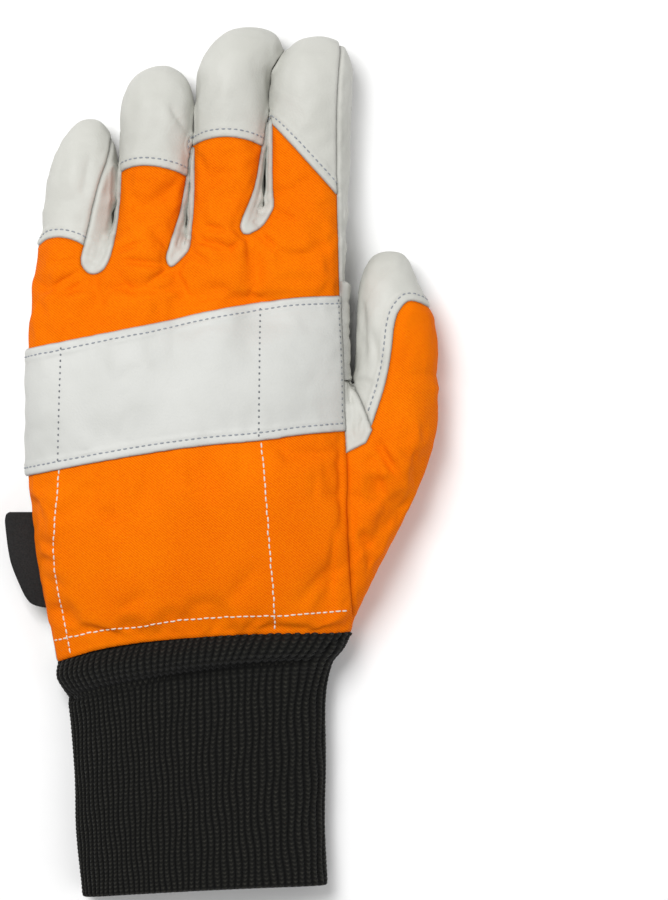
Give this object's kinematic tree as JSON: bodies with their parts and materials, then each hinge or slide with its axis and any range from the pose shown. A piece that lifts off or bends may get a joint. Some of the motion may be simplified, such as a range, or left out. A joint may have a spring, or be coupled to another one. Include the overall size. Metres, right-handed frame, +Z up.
{
  "type": "chainsaw glove",
  "caption": "Left-hand padded work glove lying palm down, with textile back, leather palm, fingertips and knuckle band, quilted palm patch and long knitted cuff.",
  "frame": {"origin": "on the surface the glove lies on, under the heel of the palm, midway across it", "axes": "+X across the hand towards the thumb, +Y from the wrist towards the fingertips, +Z up out of the back of the hand"},
  "size_m": [0.1473, 0.296, 0.0365],
  "materials": {
    "leather": "smooth grain leather, matt",
    "textile": "padded twill, high-visibility orange, slight sheen",
    "knit": "rib knit, matt black with a few lighter flecks",
    "label": "folded woven tab, satin black, bare"
  },
  "bodies": {
    "root": {"gusset_little_ring": "leather", "gusset_ring_middle": "leather", "gusset_middle_index": "leather", "fingertip_little": "leather", "fingertip_ring": "leather", "fingertip_middle": "leather", "fingertip_index": "leather", "back_panel": "textile", "thumb_gusset": "leather", "thumb_back": "textile", "thumb_front": "leather", "middle_ring_front": "leather", "palm": "leather", "knuckle_band": "leather", "palm_patch": "leather", "cuff": "knit", "side_tab": "label"}
  },
  "joints": []
}
